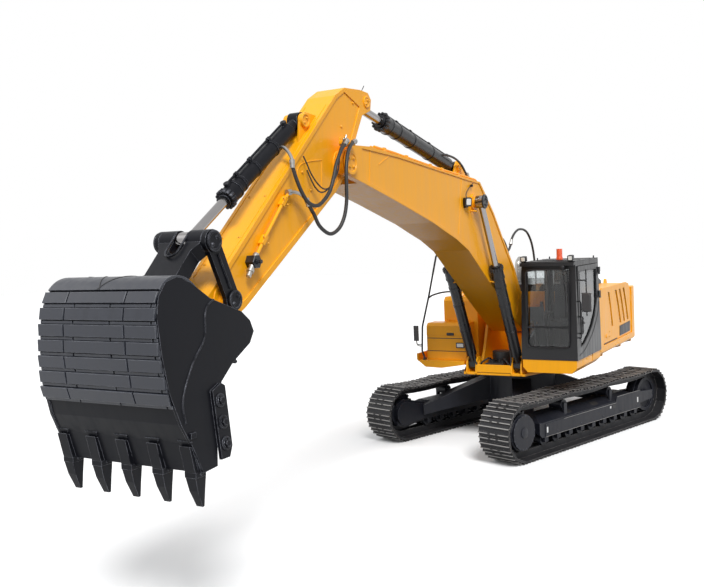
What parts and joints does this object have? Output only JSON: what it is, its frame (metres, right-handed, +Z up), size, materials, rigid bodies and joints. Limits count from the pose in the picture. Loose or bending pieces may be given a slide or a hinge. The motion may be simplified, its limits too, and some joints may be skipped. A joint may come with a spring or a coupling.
{
  "type": "crawler excavator",
  "caption": "Hydraulic crawler excavator with swinging upper structure, jointed boom, arm and toothed bucket, cab and steel tracks.",
  "frame": {"origin": "on the ground, on the axis that the upper structure swings about", "axes": "+X forwards along the boom, +Y to the left, the cab's side, +Z up"},
  "size_m": [13.7426, 4.5195, 5.5398],
  "materials": {
    "body_yellow": "gloss paint, worn at the edges",
    "attachment_charcoal": "satin dark paint, worn bare at the edges",
    "cylinder_black": "satin paint",
    "rod_chrome": "polished",
    "frame_dark": "satin dark paint with dust",
    "track_steel": "dark steel with worn bars",
    "cab_black": "satin paint",
    "window": "tinted glass",
    "lamp": "clear lens in a dark housing",
    "beacon_orange": "translucent orange",
    "seat_fabric": "woven",
    "dark_plastic": "grained",
    "engine_iron": "rough",
    "bare_steel": "worn"
  },
  "bodies": {
    "undercarriage": {"track_left": "track_steel", "track_right": "track_steel", "sprockets": "frame_dark", "idlers": "frame_dark", "track_rollers": "frame_dark", "undercarriage_frame": "frame_dark", "swing_bearing": "frame_dark"},
    "upper": {"main_frame": "body_yellow", "side_decks": "body_yellow", "counterweight": "body_yellow", "lifting_eyes": "body_yellow", "bay_walls": "body_yellow", "engine": "engine_iron", "cab": "cab_black", "cab_glass": "window", "cab_seat": "seat_fabric", "cab_controls": "dark_plastic", "fuel_tank": "body_yellow", "tool_box": "body_yellow", "handrail": "cab_black", "mirrors": "dark_plastic", "work_lamps": "lamp", "beacon": "beacon_orange"},
    "left_door": {"left_door": "body_yellow"},
    "right_door": {"right_door": "body_yellow"},
    "hood": {"engine_hood": "cab_black", "hood_cowl": "cab_black", "exhaust": "bare_steel"},
    "cab_door": {"cab_door": "cab_black", "cab_door_glass": "window"},
    "tool_box_lid": {"tool_box_lid": "body_yellow"},
    "boom": {"boom": "body_yellow", "boom_pipes": "body_yellow"},
    "boom_barrels": {"boom_cylinder_barrels": "cylinder_black"},
    "boom_rods": {"boom_cylinder_rods": "rod_chrome"},
    "arm_barrel": {"arm_cylinder_barrel": "cylinder_black"},
    "arm_rod": {"arm_cylinder_rod": "rod_chrome"},
    "arm": {"arm": "body_yellow"},
    "side_links": {"side_links": "attachment_charcoal"},
    "h_link": {"h_link": "attachment_charcoal"},
    "bucket_barrel": {"bucket_cylinder_barrel": "attachment_charcoal"},
    "bucket_rod": {"bucket_cylinder_rod": "rod_chrome"},
    "bucket": {"bucket": "attachment_charcoal", "bucket_teeth": "attachment_charcoal"}
  },
  "joints": [
    {"name": "swing", "type": "hinge", "parent": "undercarriage", "child": "upper", "pos_m": [0, 0, 1.215], "axis": [0, 0, 1], "continuous": true},
    {"name": "boom_lift", "type": "hinge", "parent": "upper", "child": "boom", "pos_m": [0.5, 0, 2.08], "axis": [0, -1, 0], "range_deg": [-57, 27]},
    {"name": "arm_crowd", "type": "hinge", "parent": "boom", "child": "arm", "pos_m": [6.5, 0, 4.597], "axis": [0, 1, 0], "range_deg": [-25, 70]},
    {"name": "bucket_curl", "type": "hinge", "parent": "arm", "child": "bucket", "pos_m": [9.2, 0, 2.9], "axis": [0, 1, 0], "range_deg": [-40, 102]},
    {"name": "boom_barrel_tilt", "type": "hinge", "parent": "upper", "child": "boom_barrels", "pos_m": [1.205, 0, 1.388], "axis": [0, -1, 0], "range_deg": [-59, 28.4]},
    {"name": "boom_rod_slide", "type": "slide", "parent": "boom_barrels", "child": "boom_rods", "axis": [0.4675, 0, 0.884], "range_m": [-0.95468, 0.45952]},
    {"name": "arm_barrel_tilt", "type": "hinge", "parent": "boom", "child": "arm_barrel", "pos_m": [2.8, 0, 4.737], "axis": [0, -1, 0], "range_deg": [-0.5, 1.37]},
    {"name": "arm_rod_slide", "type": "slide", "parent": "arm_barrel", "child": "arm_rod", "axis": [0.9767, 0, 0.2148], "range_m": [-0.45302, 1.2386]},
    {"name": "side_link_turn", "type": "hinge", "parent": "arm", "child": "side_links", "pos_m": [8.815, 0, 3.15], "axis": [0, -1, 0], "range_deg": [-73.73, 29.53]},
    {"name": "h_link_turn", "type": "hinge", "parent": "bucket", "child": "h_link", "pos_m": [9.53302, 0, 3.27296], "axis": [0, -1, 0], "range_deg": [-26.09, 65.15]},
    {"name": "bucket_barrel_tilt", "type": "hinge", "parent": "arm", "child": "bucket_barrel", "pos_m": [7.116, 0, 5.06], "axis": [0, -1, 0], "range_deg": [-3.61, 1.44]},
    {"name": "bucket_rod_slide", "type": "slide", "parent": "bucket_barrel", "child": "bucket_rod", "axis": [0.8287, 0, -0.5597], "range_m": [-0.30439, 0.76003]},
    {"name": "cab_door_hinge", "type": "hinge", "parent": "upper", "child": "cab_door", "pos_m": [-0.02, 1.5185, 2.6], "axis": [0, 0, 1], "range_deg": [0, 95]},
    {"name": "left_door_hinge", "type": "hinge", "parent": "upper", "child": "left_door", "pos_m": [-2.534, 1.464, 2], "axis": [0, 0, 1], "range_deg": [0, 90]},
    {"name": "right_door_hinge", "type": "hinge", "parent": "upper", "child": "right_door", "pos_m": [-2.534, -1.464, 2], "axis": [0, 0, -1], "range_deg": [0, 90]},
    {"name": "hood_hinge", "type": "hinge", "parent": "upper", "child": "hood", "pos_m": [-2.512, 0, 2.6], "axis": [0, -1, 0], "range_deg": [0, 55]},
    {"name": "tool_box_lid_hinge", "type": "hinge", "parent": "upper", "child": "tool_box_lid", "pos_m": [0.858, -0.9, 2.112], "axis": [0, -1, 0], "range_deg": [0, 80]}
  ],
  "couplings": [
    {"joint": "boom_barrel_tilt", "follows": "boom_lift", "ratio": 1.0201},
    {"joint": "boom_rod_slide", "follows": "boom_lift", "m_per_rad": 0.9457},
    {"joint": "arm_barrel_tilt", "follows": "arm_crowd", "ratio": 0.019253},
    {"joint": "arm_rod_slide", "follows": "arm_crowd", "m_per_rad": 1.0002},
    {"joint": "side_link_turn", "follows": "bucket_curl", "ratio": -0.71296},
    {"joint": "h_link_turn", "follows": "bucket_curl", "ratio": 0.63},
    {"joint": "bucket_barrel_tilt", "follows": "bucket_curl", "ratio": -0.03486},
    {"joint": "bucket_rod_slide", "follows": "bucket_curl", "m_per_rad": 0.42106}
  ]
}
